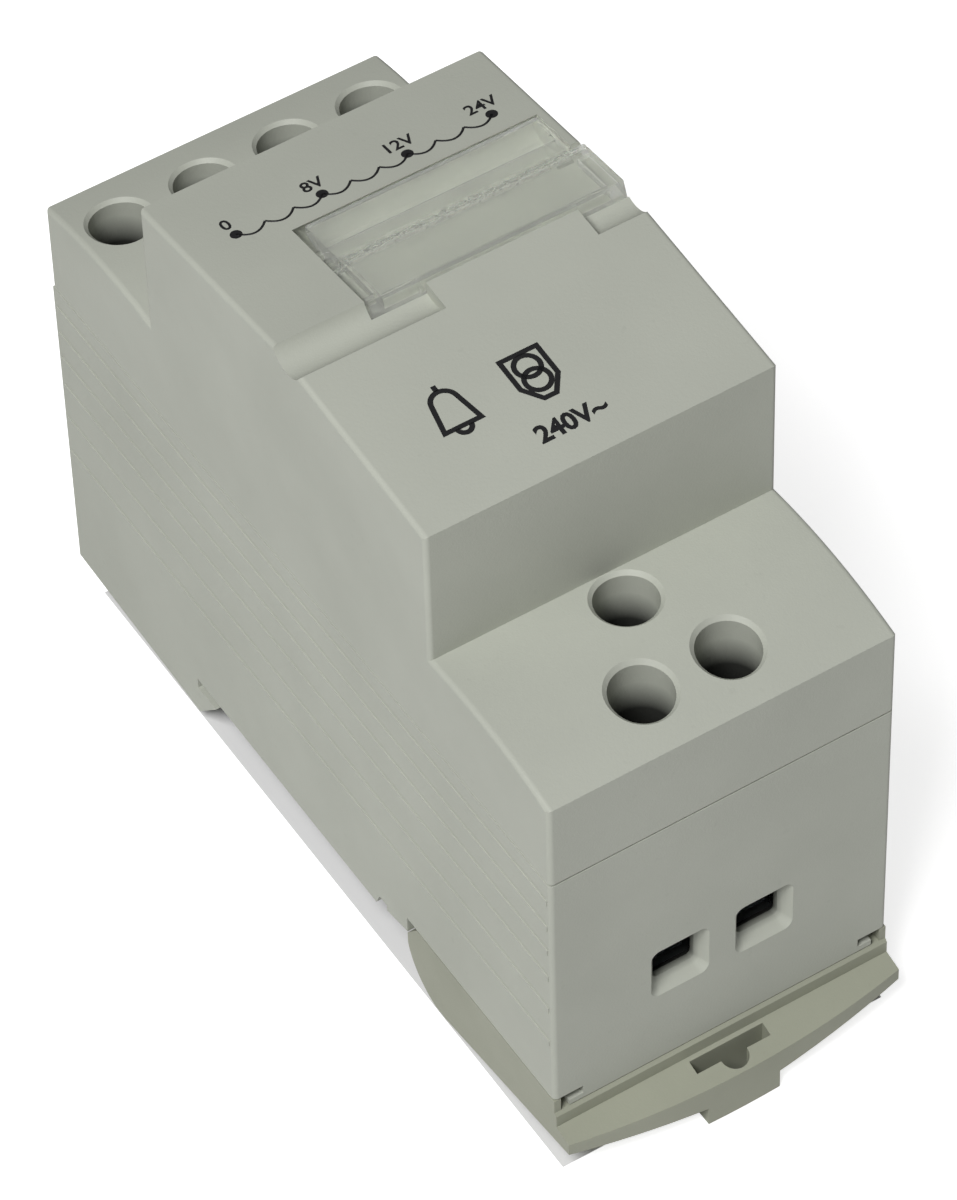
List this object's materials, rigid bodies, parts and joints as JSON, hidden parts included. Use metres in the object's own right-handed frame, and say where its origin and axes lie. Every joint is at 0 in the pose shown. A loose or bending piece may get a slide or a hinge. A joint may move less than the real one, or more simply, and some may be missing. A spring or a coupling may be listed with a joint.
{
  "type": "modular bell transformer",
  "caption": "Rail-mounted modular bell transformer with screw terminals at both ends, a sliding rail clip and a clear hinged label flap.",
  "frame": {"origin": "middle of the outline, at the height of the lowest edge of the clip's tab", "axes": "+X across the two modules, -Y towards the supply terminals and the clip's end, +Z away from the rail"},
  "size_m": [0.0362, 0.0888, 0.0704],
  "materials": {
    "housing": "fine matte moulded, light grey",
    "clip": "fine matte moulded, light grey",
    "clear_flap": "clear, slightly smoky, polished",
    "plated_steel": "zinc plated",
    "contact_metal": "stamped, plain",
    "core_steel": "stacked sheets, varnished",
    "bobbin_plastic": "moulded, dark",
    "copper_wire": "enamelled wire",
    "tape": "polyester tape",
    "thermistor": "dipped coating",
    "lead_cover": "insulated wire"
  },
  "bodies": {
    "housing": {"base_housing": "housing", "top_cover": "housing", "cover_screw": "plated_steel", "supply_contact_1": "contact_metal", "supply_contact_2": "contact_metal", "output_contact_1": "contact_metal", "output_contact_2": "contact_metal", "output_contact_3": "contact_metal", "output_contact_4": "contact_metal", "e_laminations": "core_steel", "i_laminations": "core_steel", "bobbin": "bobbin_plastic", "primary_winding": "copper_wire", "secondary_winding": "copper_wire", "primary_tape": "tape", "secondary_tape": "tape", "ptc_thermistor": "thermistor", "primary_lead_1": "lead_cover", "primary_lead_2": "lead_cover", "ptc_lead": "lead_cover", "secondary_lead_1": "lead_cover", "secondary_lead_2": "lead_cover", "secondary_lead_3": "lead_cover", "secondary_lead_4": "lead_cover"},
    "clip": {"rail_clip": "clip"},
    "flap": {"label_flap": "clear_flap"},
    "supply_screw_1": {"supply_screw_1": "plated_steel"},
    "supply_cage_1": {"supply_cage_1": "plated_steel"},
    "supply_screw_2": {"supply_screw_2": "plated_steel"},
    "supply_cage_2": {"supply_cage_2": "plated_steel"},
    "output_screw_1": {"output_screw_1": "plated_steel"},
    "output_cage_1": {"output_cage_1": "plated_steel"},
    "output_screw_2": {"output_screw_2": "plated_steel"},
    "output_cage_2": {"output_cage_2": "plated_steel"},
    "output_screw_3": {"output_screw_3": "plated_steel"},
    "output_cage_3": {"output_cage_3": "plated_steel"},
    "output_screw_4": {"output_screw_4": "plated_steel"},
    "output_cage_4": {"output_cage_4": "plated_steel"}
  },
  "joints": [
    {"name": "clip_slide", "type": "slide", "parent": "housing", "child": "clip", "axis": [0, -1, 0], "range_m": [0, 0.004], "stiffness_N_per_m": 600, "springref_m": -0.002},
    {"name": "flap_hinge", "type": "hinge", "parent": "housing", "child": "flap", "pos_m": [0.004, 0.01188, 0.06737], "axis": [-1, 0, 0], "range_deg": [0, 85]},
    {"name": "supply_screw_1_turn", "type": "hinge", "parent": "housing", "child": "supply_screw_1", "pos_m": [-0.0045, -0.03445, 0.03015], "axis": [0, 0, -1], "range_deg": [0, 2340]},
    {"name": "supply_cage_1_lift", "type": "slide", "parent": "housing", "child": "supply_cage_1", "axis": [0, 0, 1], "range_m": [0, 0.0039]},
    {"name": "supply_screw_2_turn", "type": "hinge", "parent": "housing", "child": "supply_screw_2", "pos_m": [0.0045, -0.03445, 0.03015], "axis": [0, 0, -1], "range_deg": [0, 2340]},
    {"name": "supply_cage_2_lift", "type": "slide", "parent": "housing", "child": "supply_cage_2", "axis": [0, 0, 1], "range_m": [0, 0.0039]},
    {"name": "output_screw_1_turn", "type": "hinge", "parent": "housing", "child": "output_screw_1", "pos_m": [-0.0135, 0.03835, 0.03015], "axis": [0, 0, -1], "range_deg": [0, 2340]},
    {"name": "output_cage_1_lift", "type": "slide", "parent": "housing", "child": "output_cage_1", "axis": [0, 0, 1], "range_m": [0, 0.0039]},
    {"name": "output_screw_2_turn", "type": "hinge", "parent": "housing", "child": "output_screw_2", "pos_m": [-0.0045, 0.03835, 0.03015], "axis": [0, 0, -1], "range_deg": [0, 2340]},
    {"name": "output_cage_2_lift", "type": "slide", "parent": "housing", "child": "output_cage_2", "axis": [0, 0, 1], "range_m": [0, 0.0039]},
    {"name": "output_screw_3_turn", "type": "hinge", "parent": "housing", "child": "output_screw_3", "pos_m": [0.0045, 0.03835, 0.03015], "axis": [0, 0, -1], "range_deg": [0, 2340]},
    {"name": "output_cage_3_lift", "type": "slide", "parent": "housing", "child": "output_cage_3", "axis": [0, 0, 1], "range_m": [0, 0.0039]},
    {"name": "output_screw_4_turn", "type": "hinge", "parent": "housing", "child": "output_screw_4", "pos_m": [0.0135, 0.03835, 0.03015], "axis": [0, 0, -1], "range_deg": [0, 2340]},
    {"name": "output_cage_4_lift", "type": "slide", "parent": "housing", "child": "output_cage_4", "axis": [0, 0, 1], "range_m": [0, 0.0039]}
  ],
  "couplings": [
    {"joint": "supply_screw_1_turn", "follows": "supply_cage_1_lift", "rad_per_m": 10472},
    {"joint": "supply_screw_2_turn", "follows": "supply_cage_2_lift", "rad_per_m": 10472},
    {"joint": "output_screw_1_turn", "follows": "output_cage_1_lift", "rad_per_m": 10472},
    {"joint": "output_screw_2_turn", "follows": "output_cage_2_lift", "rad_per_m": 10472},
    {"joint": "output_screw_3_turn", "follows": "output_cage_3_lift", "rad_per_m": 10472},
    {"joint": "output_screw_4_turn", "follows": "output_cage_4_lift", "rad_per_m": 10472}
  ]
}
